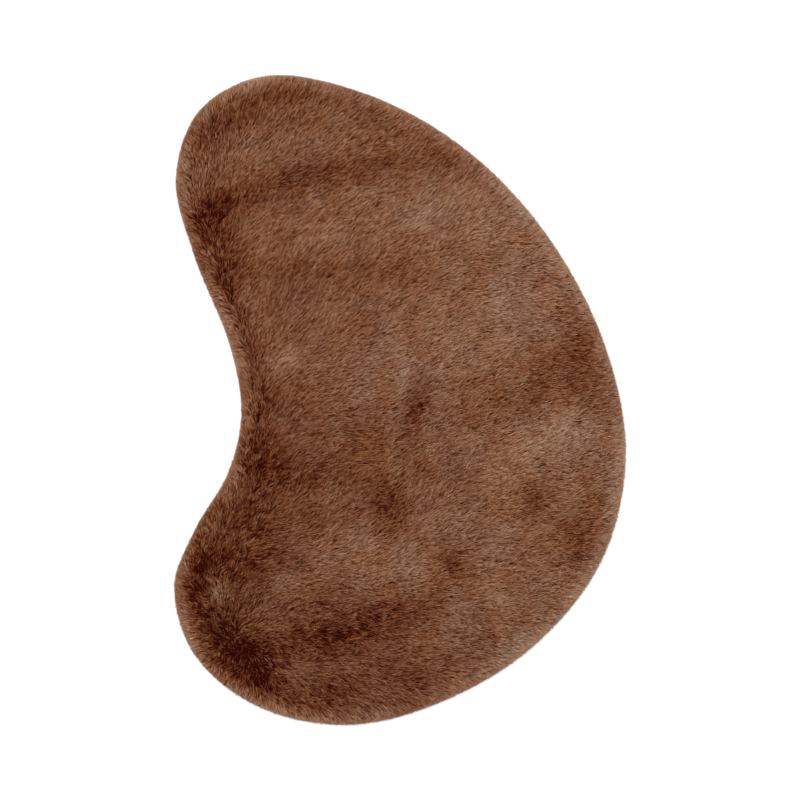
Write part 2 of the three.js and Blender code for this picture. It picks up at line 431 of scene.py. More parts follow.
# Share of the nap's hairs with the cool tint, outside the shade, and how it changes in clouds
COOL_SHARE = {"middle": 0.53, "cloud": 0.6, "size": 45}

# Tufts of the rim: scatter and lean of their direction, its least outward part, their reach as a
# share of the section's, their bow and spread, and their tones as in the nap
RIM_TUFT = {
    "scatter": 0.12,
    "lean": 0.32,
    "least_outward": 0.45,
    "reach": (0.85, 1.1),
    "bow": 1.5,
    "spread": 1.0,
    "tone_scatter": 0.05,
    "locks": 0.16,
    "hair": (0.20, 0.10),
    "cool": 0.6,
}

# Hairs of a tuft: length, spread of the tips, sideways scatter of tips and middles, and bow, as
# shares of the tuft's own, roll in radians, and half the width as a share of Hair Width
TUFT_HAIR = {
    "length": (0.78, 1.12),
    "tips_together": 0.30,
    "tip_scatter": 0.09,
    "bend_scatter": 0.04,
    "bow": (0.7, 1.3),
    "roll": 0.5,
    "half_width": (0.35, 0.65),
}

# No hair comes lower over the floor than this
LOWEST_HAIR = 0.4

# The UV map: tones from TONE_LOW to TONE_HIGH across, MAP_EDGE off its sides, half a hair's width
# on it, and up it the share of length at a hair's root, its widest line's two ends and its tip
TONE_LOW = -0.2
TONE_HIGH = 1.0
MAP_EDGE = 0.02
MAP_HALF_WIDTH = 0.003
MAP_UP = (0.04, 0.45, 0.45, 0.96)
UV_NAME = "OFBake"

COLOR_GROUP = "Fur Color"
HAIR_FINISH = "Fur Hair"

# Places on the colour ramp of the fur's colours between the darkest, painted shadow on deep red,
# and tip
COLOR_STOPS = {"root": 0.10, "undercoat": 0.24, "body": 0.5}

# How far off its own tone a hair is at its root and at its tip, and the share of its length at
# which that climb ends
CLIMB = {"root": -0.34, "tip": 0.14, "ends": 0.9}

WARM_TINT = (1.03, 0.985, 0.93, 1)
COOL_TINT = (0.97, 1.015, 1.07, 1)

# The stage, in metres: half the floor's side, how far it lies under the rug, and the width and
# place of the key light
FLOOR_HALF = 8
FLOOR_DROP = 0.0002
KEY_WIDTH = 3.0
KEY_PLACE = (-0.35, 0.45, 3.2)

# Where the random draws start. Each noise has its own number after it.
SEED = 7
RIM_SEED = SEED + 20


def size_setting(name, description, default, least, unit="LENGTH"):
    """A size that a user can change, in metres where it is a length."""
    return bpy.props.FloatProperty(
        name=name, description=description, default=default, min=least, unit=unit
    )


def color_setting(name, description, default):
    """A colour that a user can change."""
    return bpy.props.FloatVectorProperty(
        name=name, description=description, default=default, size=3, subtype="COLOR"
    )


class RugShape(bpy.types.PropertyGroup):
    """Sizes of the rug's pile."""

    pile_height: size_setting(
        "Pile Height", "How high the nap lies over the floor in the middle of the rug", 0.024, 0.005
    )
    hair_reach: size_setting(
        "Hair Reach", "How far a hair of the nap reaches from its root to its tip", 0.019, 0.002
    )
    hair_width: size_setting("Hair Width", "Width of a hair at its widest", 0.0012, 0.0001)
    tuft_spacing: size_setting(
        "Tuft Spacing", "Distance between the tufts of the nap", 0.0030, 0.001
    )
    hairs_per_tuft: bpy.props.IntProperty(
        name="Hairs per Tuft",
        description="How many hairs lean together in a tuft",
        default=3,
        min=1,
    )
    rim_tufts: bpy.props.IntProperty(
        name="Rim Tufts",
        description="How many tufts of hair the rim has",
        default=32000,
        min=100,
    )


class FurColors(bpy.types.PropertyGroup):
    """Colours of the fur, with a painted shadow colour, and of the underside."""

    # Painted shadow deep in a parting, on the fur's own deep red
    depth: color_setting("Depth", "The darkest fur, deep in a parting", (0.031, 0.0020, 0.0005))
    root: color_setting("Root", "The fur down at the roots", (0.066, 0.0095, 0.0026))
    undercoat: color_setting(
        "Undercoat", "The dark reddish fur between root and body", (0.124, 0.0325, 0.0108)
    )
    body: color_setting("Body", "The middle tone of the fur", (0.245, 0.0925, 0.0395))
    tip: color_setting("Tip", "The lightest fur, at the tips", (0.484, 0.329, 0.226))
    backing: color_setting("Backing", "Underside of the rug", (0.195, 0.130, 0.088))


class StageLook(bpy.types.PropertyGroup):
    """Floor, light and camera."""

    floor_color: color_setting("Floor", "Colour of the pale floor", (0.97, 0.97, 0.97))
    sky_strength: size_setting(
        "Sky", "Brightness of the even light from all round", 0.67, 0, unit="NONE"
    )
    key_power: size_setting(
        "Key Light", "Power of the large soft light over the rug", 102, 0, unit="POWER"
    )
    camera_lens: size_setting("Lens", "Focal length of the camera", 85, 10, unit="CAMERA")
    frame_width: size_setting("Frame Width", "Width of the floor that the camera sees", 1.6, 0.1)


def closed_curve(points, steps=40):
    """Centripetal Catmull-Rom curve through a closed row of points.

    Each span is a cubic whose ends are the two points. Its slope at a point is the change to the
    next point plus the change from the one before, less the change across both, each over the
    square root of its distance.
    """
    before, here, after, beyond = (np.roll(points, shift, axis=0) for shift in (1, 0, -1, -2))
    first, second, third = (
        np.linalg.norm(end - start, axis=1, keepdims=True) ** 0.5
        for start, end in ((before, here), (here, after), (after, beyond))
    )
    across = (after - here) / second
    slope_in = ((here - before) / first - (after - before) / (first + second) + across) * second
    slope_out = (across - (beyond - here) / (second + third) + (beyond - after) / third) * second
    t = np.linspace(0, 1, steps, endpoint=False)[:, None, None]
    square = -3 * here + 3 * after - 2 * slope_in - slope_out
    cube = 2 * here - 2 * after + slope_in + slope_out
    curve = here + slope_in * t + square * t**2 + cube * t**3
    return curve.transpose(1, 0, 2).reshape(-1, 2)


def along_closed(line, shares):
    """Points at the given shares of the way round a closed line, by its length."""
    closed = np.vstack([line, line[:1]])
    walked = np.concatenate([[0], np.cumsum(np.linalg.norm(np.diff(closed, axis=0), axis=1))])
    goal = (shares % 1) * walked[-1]
    return np.column_stack([np.interp(goal, walked, closed[:, axis]) for axis in (0, 1)])


def inward(line):
    """Unit vectors that point inwards, square to an anticlockwise closed line."""
    forward = np.roll(line, -1, axis=0) - np.roll(line, 1, axis=0)
    return sideways_of(forward / np.linalg.norm(forward, axis=1, keepdims=True))


def outline(count):
    """The rug's outline as an anticlockwise line of evenly spread points, in metres."""
    half = (RUG_HIGH - RUG_LOW)[:2] / 2
    middle = (RUG_HIGH + RUG_LOW)[:2] / 2
    curve = closed_curve(np.array(OUTLINE)[::-1] * half + middle)
    return along_closed(curve, np.arange(count) / count)


def middle_of(points):
    """Nearest point of the middle arc: same heading from its centre, held between its ends."""
    centre = np.array([MIDDLE_ARC["x"], MIDDLE_ARC["y"]]) * MM
    away = points - centre
    heading = np.degrees(np.arctan2(away[:, 1], away[:, 0]))
    turn = np.radians(np.clip(heading, MIDDLE_ARC["start"], MIDDLE_ARC["end"]))
    return centre + MIDDLE_ARC["radius"] * MM * np.column_stack([np.cos(turn), np.sin(turn)])


def smooth_step(low, high, values):
    """0 below low and 1 above high, with a soft S between them."""
    t = np.clip((values - low) / (high - low), 0, 1)
    return t * t * (3 - 2 * t)


def soft_noise(points, size, seed):
    """Smooth noise between -1 and 1: random values on a square lattice, blended between.
    Its size, the lattice's spacing, is in millimetres."""
    cells = 64
    values = np.random.default_rng(seed).uniform(-1, 1, (cells, cells))
    at = points / (size * MM)
    low = np.floor(at).astype(int)
    part = at - low
    part = part * part * (3 - 2 * part)
    x, y = (low % cells).T
    right, up = (x + 1) % cells, (y + 1) % cells
    lower = values[y, x] * (1 - part[:, 0]) + values[y, right] * part[:, 0]
    upper = values[up, x] * (1 - part[:, 0]) + values[up, right] * part[:, 0]
    return lower * (1 - part[:, 1]) + upper * part[:, 1]


def streaky_noise(points, heading, stretch, size, seed):
    """Smooth noise drawn out along a heading."""
    return soft_noise(turned(points, heading) / np.array([stretch, 1.0]), size, seed)


def turned(points, heading):
    """Points in axes turned by a heading in degrees."""
    turn = np.radians(heading)
    along = points[:, 0] * np.cos(turn) + points[:, 1] * np.sin(turn)
    across = points[:, 1] * np.cos(turn) - points[:, 0] * np.sin(turn)
    return np.column_stack([along, across])


def spot_weights(points):
    """How much each nap spot counts at each point: e to the minus square of its oval distance."""
    columns = []
    for x, y, half, across, turn, _, _ in NAP_SPOTS:
        oval = turned(points - np.array([x, y]) * MM, turn) / (np.array([half, across]) * MM)
        columns.append(np.exp(-(oval**2).sum(axis=1)))
    return np.column_stack(columns)


def pile_height(points, middle_height):
    """Height of the nap: the middle height, plus the tuft waves, plus the spots' rises."""
    height = np.full(len(points), float(middle_height))
    for length, heading, rise in TUFT_WAVES:
        height += rise * MM * np.sin(2 * np.pi * turned(points, heading)[:, 0] / (length * MM))
    rises = np.array([spot[5] for spot in NAP_SPOTS]) * MM
    return height + spot_weights(points) @ rises


def pile_share(points, shape):
    """Height of the nap at each point as a share of the pile's own height."""
    return pile_height(points, shape.pile_height) / shape.pile_height


def nap_direction(points):
    """Which way the nap lies, and how far it lies over, 0 upright to 1 flat.

    It is the mean of the table's headings, weighted by nearness: where they part, the mean is
    short and the hair stands up.
    """
    table = np.array(NAP_HEADINGS, float)
    places, headings = table[:, :2] * MM, np.radians(table[:, 2])
    gap = np.linalg.norm(points[:, None] - places[None], axis=2) / (NAP_REACH * MM)
    weight = np.exp(-(gap**2)) + 1e-9
    mean = weight @ np.column_stack([np.cos(headings), np.sin(headings)])
    mean /= weight.sum(axis=1, keepdims=True)
    lie = np.linalg.norm(mean, axis=1)
    return mean / lie[:, None], np.clip(lie, 0, 1)


def fan_direction(points, distance, outward):
    """Which way the hair lies with the fan at the rim, how flat it lies, and how much the nap
    and the rim's hair go against each other, 0 not at all to 1 straight.

    The heading turns evenly from the nap's to the outward one as the rim comes near. The more
    the two differ, the further inside the turn lies and the more its hairs stand apart. Where
    they are almost opposite, one runs out as the other begins, with no turn between them.
    """
    nap, lie = nap_direction(points)
    nap_heading = np.arctan2(nap[:, 1], nap[:, 0])
    turn = np.arctan2(outward[:, 1], outward[:, 0]) - nap_heading
    turn = (turn + np.pi) % (2 * np.pi) - np.pi
    against = np.abs(turn) / np.pi
    middle = (FAN_FROM + FAN_WIDENS * against) * MM
    sharp = smooth_step(PARTS_FROM, PARTS_BY, against)
    band = FAN_BAND - sharp
    share = 1 - smooth_step(middle * (1 - band), middle * (1 + band), distance)
    heading = nap_heading + turn * share
    direction = np.column_stack([np.cos(heading), np.sin(heading)])
    parted = nap * (1 - share)[:, None] + outward * share[:, None]
    direction = direction * (1 - sharp)[:, None] + parted * sharp[:, None]
    length = np.maximum(np.linalg.norm(direction, axis=1), LEAST_LEAN)
    away = (distance - PARTING["place"] * middle) / (PARTING["half_width"] * MM)
    parting = np.exp(-(away**2)) * against ** PARTING["sharpness"]
    lie = lie * (0.5 + 0.5 * length) * (1 - PARTING["lift"] * parting)
    return direction / length[:, None], lie, against


def nearest_rim(points, line):
    """Distance inside the rim, and the outward direction there, for each point."""
    inwards = inward(line)
    distance = np.empty(len(points))
    outward = np.empty((len(points), 2))
    chunk = 8000
    for start in range(0, len(points), chunk):
        part = points[start : start + chunk]
        away = part[:, None] - line[None]
        nearest = (away**2).sum(axis=2).argmin(axis=1)
        away = away[np.arange(len(part)), nearest]
        distance[start : start + chunk] = (away * inwards[nearest]).sum(axis=1)
        outward[start : start + chunk] = -inwards[nearest]
    return distance, outward


def rim_locks(edge, outward):
    """How far the rim's locks lean sideways at points of the outline, and how closely their
    hairs gather there: smooth noise, and its fall from one side of the point to the other."""
    step = LOCK_STEP * MM * sideways_of(outward)
    lean = lambda points: soft_noise(points, LOCK_SIZE, SEED + 7)
    return lean(edge), lean(edge - step) - lean(edge + step)


def sideways_of(direction):
    """The direction turned a quarter turn to the left, seen from above."""
    return np.column_stack([-direction[:, 1], direction[:, 0]])


def swung(direction, turn):
    """The direction turned to the left by an angle in radians, seen from above."""
    return direction * np.cos(turn)[:, None] + sideways_of(direction) * np.sin(turn)[:, None]


def fur_tone(points, lie):
    """Tone of the fur, 0 dark to 1 light: painted light, darker towards the left and the broad
    lobe, the spots' painted shade and light, the clouds, and painted shade where the hair stands
    up."""
    # Painted light: lighter to the right and towards the narrow lobe
    tone = TONE["middle"] + TONE["across"] * points[:, 0] / RUG_HIGH[0]
    tone += TONE["along"] * points[:, 1] / RUG_HIGH[1]
    # The spots' painted shade in hollows and painted light on swells
    tone += TONE["spots"] * (spot_weights(points) @ np.array([spot[6] for spot in NAP_SPOTS]))
    for number, (heading, stretch, size, strength) in enumerate(CLOUDS, start=1):
        tone += strength * streaky_noise(points, heading, stretch, size, SEED + number)
    # Painted shade on hair that stands up
    return np.maximum(tone - TONE["upright"] * (1 - lie), TONE["darkest"])


def new_object(name, mesh, material):
    """A piece of the rug that rides on its one body and takes the fur's finish."""
    mesh.materials.append(material)
    piece = bpy.data.objects.new(name, mesh)
    bpy.context.scene.collection.objects.link(piece)
    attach(piece, "root")
    return piece


def hair_mesh(name, root, middle, tip, side, tone, cool):
    """Flat hairs of two triangles each: root, the two ends of the widest line, and tip.

    The UV map holds a hair's tone across and the share of its length up, in the lower half of
    the map for a warm hair and in its upper half for a cool one.
    """
    count = len(root)
    points = np.stack([root, middle - side, middle + side, tip], axis=1)
    corners = np.array([0, 1, 2, 1, 3, 2]) + 4 * np.arange(count)[:, None]
    mesh = bpy.data.meshes.new(name)
    mesh.vertices.add(4 * count)
    mesh.vertices.foreach_set("co", points.astype(np.float32).ravel())
    mesh.loops.add(6 * count)
    mesh.loops.foreach_set("vertex_index", corners.astype(np.int32).ravel())
    mesh.polygons.add(2 * count)
    mesh.polygons.foreach_set("loop_start", np.arange(0, 6 * count, 3, dtype=np.int32))
    place = (tone - TONE_LOW) / (TONE_HIGH - TONE_LOW)
    shift = MAP_HALF_WIDTH * np.array([0, -1, 1, 0])
    across = np.clip(place, MAP_EDGE, 1 - MAP_EDGE)[:, None] + shift
    up = np.array(MAP_UP) / 2 + 0.5 * cool[:, None]
    uv = np.stack([across, up], axis=2)[:, [0, 1, 2, 1, 3, 2]]
    layer = mesh.uv_layers.new(name=UV_NAME)
    layer.uv.foreach_set("vector", uv.astype(np.float32).ravel())
    mesh.update(calc_edges=True)
    mesh.shade_smooth()
    return mesh


def tuft_hairs(rng, shape, root, tip, bow, spread):
    """Roots, middles, tips and sides of the hairs of each tuft, from the tuft's root and tip.

    The roots spread round the tuft's root, and the tips less far round its tip. A middle is the
    mean of both ends, lifted by the bow, and a side reaches from it to the widest line's end.
    """
    hairs = shape.hairs_per_tuft
    count = len(root) * hairs
    each = lambda values: np.repeat(values, hairs, axis=0)
    start, chord = each(root), each(tip - root)
    length = np.linalg.norm(chord[:, :2], axis=1, keepdims=True)
    sideways = sideways_of(chord) / length
    offset = rng.normal(0, spread, (count, 2))
    size = rng.uniform(*TUFT_HAIR["length"], (count, 1))
    end = start + chord * size
    tip_shift = rng.normal(0, TUFT_HAIR["tip_scatter"], (count, 1)) * sideways * length
    end[:, :2] += TUFT_HAIR["tips_together"] * offset + tip_shift
    start[:, :2] += offset
    middle = (start + end) / 2
    middle[:, :2] += rng.normal(0, TUFT_HAIR["bend_scatter"], (count, 1)) * sideways * length
    middle[:, 2] += each(bow) * rng.uniform(*TUFT_HAIR["bow"], count)
    roll = rng.normal(0, TUFT_HAIR["roll"], count)
    half_width = shape.hair_width * rng.uniform(*TUFT_HAIR["half_width"], count)
    side = np.zeros((count, 3))
    side[:, :2] = sideways * (half_width * np.cos(roll))[:, None]
    side[:, 2] = half_width * np.sin(roll)
    return [keep_off_floor(points) for points in (start, middle, end)] + [side]


def keep_off_floor(points):
    """Lifts points that would reach the floor to just above it."""
    points[:, 2] = np.maximum(points[:, 2], LOWEST_HAIR * MM)
    return points


def profile(table, inset):
    """Height in a section through the rim, at how far inside the outline a point is."""
    return np.interp(inset / MM, table["inset"], table["height"]) * MM


def lattice(spacing, rng):
    """Tuft roots over the rug's box: a lattice of equal triangles, each point moved a little."""
    rows = np.arange(RUG_LOW[1], RUG_HIGH[1], spacing * 3**0.5 / 2)
    columns = np.arange(RUG_LOW[0], RUG_HIGH[0], spacing)
    x, y = np.meshgrid(columns, rows)
    x = x + (np.arange(len(rows)) % 2)[:, None] * spacing / 2
    points = np.column_stack([x.ravel(), y.ravel()])
    return points + rng.uniform(-ROOT_JITTER, ROOT_JITTER, points.shape) * spacing


def nap_tufts(shape, rng):
    """Roots of the nap's tufts, how far inside the outline each is, and which way is outwards."""
    tufts = lattice(shape.tuft_spacing, rng)
    distance, outward = nearest_rim(tufts, outline(PELT_COLUMNS))
    kept = distance > ROOT_PROFILE["inset"][0] * MM
    return tufts[kept], distance[kept], outward[kept]


def nap_turn(rng, tufts, lie, in_shade):
    """How far each tuft turns to the left: a chance turn, plus wide swirls of smooth noise, plus
    small tangles of it where the fur is in shade or stands up."""
    swirl = soft_noise(tufts, NAP_TURN["swirl_size"], SEED + 3)
    tangle = soft_noise(tufts, NAP_TURN["tangle_size"], SEED + 4)
    amount = NAP_TURN["shade_tangle"] * in_shade + NAP_TURN["upright_tangle"] * (1 - lie)
    chance = rng.normal(0, NAP_TURN["scatter"], len(tufts))
    return chance + NAP_TURN["swirl"] * swirl + amount * tangle


def nap_reach(rng, shape, direction, lie, distance, outward):
    """How far each tuft reaches, and how far inside the outline its tip then is.

    Upright hair reaches half as far as flat hair. Where a tip would pass the rim, its reach is
    the room there over the outward part of its direction.
    """
    count = len(lie)
    reach = shape.hair_reach * (0.5 + 0.5 * lie) * rng.uniform(*NAP_TIP["reach"], count)
    past = (direction * outward).sum(axis=1)
    room = distance + rng.normal(*NAP_TIP["past_rim"], count) * MM
    cut = room / np.maximum(past, NAP_TIP["least_outward"])
    reach = np.where(past * reach > room, cut, reach)
    return reach, distance - past * reach


def nap_tone(rng, tone, tufts, in_shade, lift):
    """Tone of each tuft of the nap: mottled and uneven in the shade, with painted light where the
    tuft lies high and painted shade where it lies low, and with a small scatter."""
    mottle = soft_noise(tufts, NAP_TONE["mottle_size"], SEED + 9)
    tone = tone + NAP_TONE["mottle"] * in_shade * mottle
    # Painted light on tufts that lie high, painted shade on those that lie low
    tone += NAP_TONE["lift"] * (1 - 0.5 * in_shade) * lift
    tone += rng.normal(0, NAP_TONE["scatter"], len(tufts))
    return tone + in_shade * dark_scatter(rng, len(tufts), *NAP_TONE["shade"])


def cool_share(tufts, in_shade):
    """Share of the hairs of each tuft of the nap that are cool: cloudy, and none in the shade."""
    cloud = soft_noise(tufts, COOL_SHARE["size"], SEED + 6)
    return (1 - in_shade) * (COOL_SHARE["middle"] + COOL_SHARE["cloud"] * cloud)


def dark_scatter(rng, count, rise, scale):
    """Uneven tones that go further to the dark than to the light: the rise, less a gamma draw of
    shape 2 and the given scale."""
    return rise - rng.gamma(2.0, scale, count)


def rim_places(rng, count):
    """Points along the outline, each at random in an even stretch, and which way is outwards."""
    line = outline(4 * PELT_COLUMNS)
    turn = (np.arange(count) + rng.uniform(0, 1, count)) / count
    nearest = np.round(turn * len(line)).astype(int) % len(line)
    return along_closed(line, turn), -inward(line)[nearest]


def rim_section(share):
    """Root and tip of the rim's hair in the section, by the share of the way up, in metres."""
    return {
        name: np.interp(share, RIM_HAIR["share"], values) * MM
        for name, values in RIM_HAIR.items()
        if name != "share"
    }


def add_node(tree, kind, constants=None, **settings):
    """A new node with its settings, and the constants of its inputs."""
    node = tree.nodes.new(kind)
    for name, value in settings.items():
        setattr(node, name, value)
    for socket, value in (constants or {}).items():
        node.inputs[socket].default_value = value
    return node


def join(tree, *links):
    """Links nodes, each link as (from node, its output, to node, its input)."""
    for source, output, target, entry in links:
        tree.links.new(source.outputs[output], target.inputs[entry])


def fur_color_group(colors):
    """Colour of a hair from its tone and the share of its length.

    The tone is its place on a ramp from the darkest colour, painted shadow on deep red, over
    root, undercoat and body to tip colour, and the hair climbs that ramp from its root to its tip.
    """
    group = bpy.data.node_groups.new(COLOR_GROUP, "ShaderNodeTree")
    group.interface.new_socket("Tone", in_out="INPUT", socket_type="NodeSocketFloat")
    group.interface.new_socket("Along", in_out="INPUT", socket_type="NodeSocketFloat")
    group.interface.new_socket("Color", in_out="OUTPUT", socket_type="NodeSocketColor")
    inputs = add_node(group, "NodeGroupInput")
    outputs = add_node(group, "NodeGroupOutput")
    ends = {"From Max": CLIMB["ends"], "To Min": CLIMB["root"], "To Max": CLIMB["tip"]}
    climb = add_node(group, "ShaderNodeMapRange", ends, interpolation_type="SMOOTHSTEP")
    place = add_node(group, "ShaderNodeMath", operation="ADD")
    ramp = add_node(group, "ShaderNodeValToRGB")
    stops = ramp.color_ramp.elements
    # The ramp's darkest stop: painted shadow on the fur's own deep red
    stops[0].color = (*colors.depth, 1)
    stops[1].color = (*colors.tip, 1)
    for name, position in COLOR_STOPS.items():
        stops.new(position).color = (*getattr(colors, name), 1)
    join(
        group,
        (inputs, "Along", climb, "Value"),
        (inputs, "Tone", place, 0),
        (climb, "Result", place, 1),
        (place, "Value", ramp, "Fac"),
        (ramp, "Color", outputs, "Color"),
    )
    return group


def principled(name):
    """A new material with nodes, and its Principled shader."""
    material = bpy.data.materials.new(name)
    material.use_nodes = True
    return material, material.node_tree.nodes["Principled BSDF"]


def soft_cloth(shader, roughness, sheen, specular=0.1):
    """Sets the constants of a soft, fibrous surface."""
    shader.inputs["Roughness"].default_value = roughness
    shader.inputs["Specular IOR Level"].default_value = specular
    shader.inputs["Sheen Weight"].default_value = sheen
    shader.inputs["Sheen Roughness"].default_value = 0.5
    shader.inputs["Sheen Tint"].default_value = (0.9, 0.62, 0.45, 1)


def hair_material():
    """Finish of the hairs, coloured by their UV map: tone across, share of the length up, in the
    lower half tinted warm and in the upper half tinted cool."""
    material, shader = principled(HAIR_FINISH)
    tree = material.node_tree
    place = add_node(tree, "ShaderNodeUVMap", uv_map=UV_NAME)
    split = add_node(tree, "ShaderNodeSeparateXYZ")
    tone = add_node(tree, "ShaderNodeMapRange", {"To Min": TONE_LOW, "To Max": TONE_HIGH})
    double = add_node(tree, "ShaderNodeMath", {1: 2}, operation="MULTIPLY")
    along = add_node(tree, "ShaderNodeMath", operation="FRACT")
    cool = add_node(tree, "ShaderNodeMath", {1: 0.5}, operation="GREATER_THAN")
    tint = add_node(tree, "ShaderNodeMix", {6: WARM_TINT, 7: COOL_TINT}, data_type="RGBA")
    tinted = add_node(tree, "ShaderNodeMix", {0: 1}, data_type="RGBA", blend_type="MULTIPLY")
    color = add_node(tree, "ShaderNodeGroup", node_tree=bpy.data.node_groups[COLOR_GROUP])
    join(
        tree,
        (place, "UV", split, "Vector"),
        (split, "X", tone, "Value"),
        (tone, "Result", color, "Tone"),
        (split, "Y", double, 0),
        (double, "Value", along, 0),
        (along, "Value", color, "Along"),
        (split, "Y", cool, 0),
        (cool, "Value", tint, 0),
        (color, "Color", tinted, 6),
        (tint, 2, tinted, 7),
        (tinted, 2, shader, "Base Color"),
    )
    soft_cloth(shader, roughness=0.65, sheen=0.015, specular=0.02)
    return material


def pelt_material():
    """Finish of the dense underfur between the roots: dark, uneven and streaky."""
    material, shader = principled("Fur Pelt")
    tree = material.node_tree
    place = add_node(tree, "ShaderNodeTexCoord")
    turn = {"Rotation": (0, 0, -np.radians(PELT_HEADING)), "Scale": (90, 420, 200)}
    streaks = add_node(tree, "ShaderNodeMapping", turn)
    grain = add_node(tree, "ShaderNodeTexNoise", {"Scale": 1, "Detail": 3})
    tones = {"From Min": 0.3, "From Max": 0.7, "To Max": 0.40}
    tone = add_node(tree, "ShaderNodeMapRange", tones)
    color = add_node(tree, "ShaderNodeGroup", node_tree=bpy.data.node_groups[COLOR_GROUP])
    color.inputs["Along"].default_value = 0.2
    bump = add_node(tree, "ShaderNodeBump", {"Strength": 0.6, "Distance": 0.001})
    join(
        tree,
        (place, "Object", streaks, "Vector"),
        (streaks, "Vector", grain, "Vector"),
        (grain, "Fac", tone, "Value"),
        (tone, "Result", color, "Tone"),
        (color, "Color", shader, "Base Color"),
        (grain, "Fac", bump, "Height"),
        (bump, "Normal", shader, "Normal"),
    )
    soft_cloth(shader, roughness=0.9, sheen=0.1)
    return material


def backing_material(color):
    """Finish of the underside: a plain felt, slightly uneven in colour, with a fine grain."""
    material, shader = principled("Felt Backing")
    tree = material.node_tree
    place = add_node(tree, "ShaderNodeTexCoord")
    grain = add_node(tree, "ShaderNodeTexNoise", {"Scale": 900, "Detail": 4})
    dark, light = ((*(share * channel for channel in color), 1) for share in (0.7, 1.25))
    mix = add_node(tree, "ShaderNodeMix", {6: dark, 7: light}, data_type="RGBA")
    bump = add_node(tree, "ShaderNodeBump", {"Strength": 0.4, "Distance": 0.0004})
    join(
        tree,
        (place, "Object", grain, "Vector"),
        (grain, "Fac", mix, 0),
        (mix, 2, shader, "Base Color"),
        (grain, "Fac", bump, "Height"),
        (bump, "Normal", shader, "Normal"),
    )
    soft_cloth(shader, roughness=0.95, sheen=0.1)
    return material


def pelt_rings(shape):
    """Rings of the pelt from the floor edge up round the rim and in to the middle arc.

    On the rim a ring is the outline moved inwards by the section's inset. Past it, a ring lies a
    share of the way from the root line to the middle arc, at the nap's height less its lift.
    """
    line = outline(PELT_COLUMNS)
    inwards = inward(line)
    local = pile_share(line, shape)
    rings = [
        np.column_stack([line + inwards * inset * MM, local * height * MM])
        for inset, height in PELT_SECTION
    ]
    root = line + inwards * PELT_ROOT_INSET * MM
    middle = middle_of(root)
    for share in np.linspace(0, PELT_LAST_SHARE, PELT_ROWS):
        flat = root * (1 - share) + middle * share
        height = pile_height(flat, shape.pile_height) - PELT_DEPTH * MM
        height += PELT_ROUGHNESS * MM * streaky_noise(flat, **PELT_STREAKS, seed=SEED)
        rings.append(np.column_stack([flat, height]))
    return np.stack(rings)


def pelt_mesh(rings):
    """Closed skin: four-sided faces between the rings, one flat face for the sole and one long
    narrow face along the middle arc."""
    rows, columns = rings.shape[:2]
    index = np.arange(rows * columns).reshape(rows, columns)
    following = np.roll(index, -1, axis=1)
    sides = np.stack([index[:-1], following[:-1], following[1:], index[1:]], axis=2)
    faces = [*sides.reshape(-1, 4).tolist(), index[0, ::-1].tolist(), index[-1].tolist()]
    mesh = bpy.data.meshes.new("pelt")
    mesh.from_pydata(rings.reshape(-1, 3).tolist(), [], faces)
    mesh.update()
    mesh.shade_smooth()
    return mesh


class RUG_OT_make_pelt(bpy.types.Operator):
    """Make the pelt: the fur's dense ground with its rounded rim and its flat sole"""

    bl_idname = "rug.make_pelt"
    bl_label = "Make Pelt"

    def execute(self, context):
        scene = context.scene
        fur_color_group(scene.fur_colors)
        mesh = pelt_mesh(pelt_rings(scene.rug_shape))
        pelt = new_object("pelt", mesh, pelt_material())
        mesh.materials.append(backing_material(scene.fur_colors.backing))
        sole = mesh.polygons[len(mesh.polygons) - 2]
        sole.material_index = 1
        sole.use_smooth = False
        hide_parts(RUG_NODE)
        return {"FINISHED"}


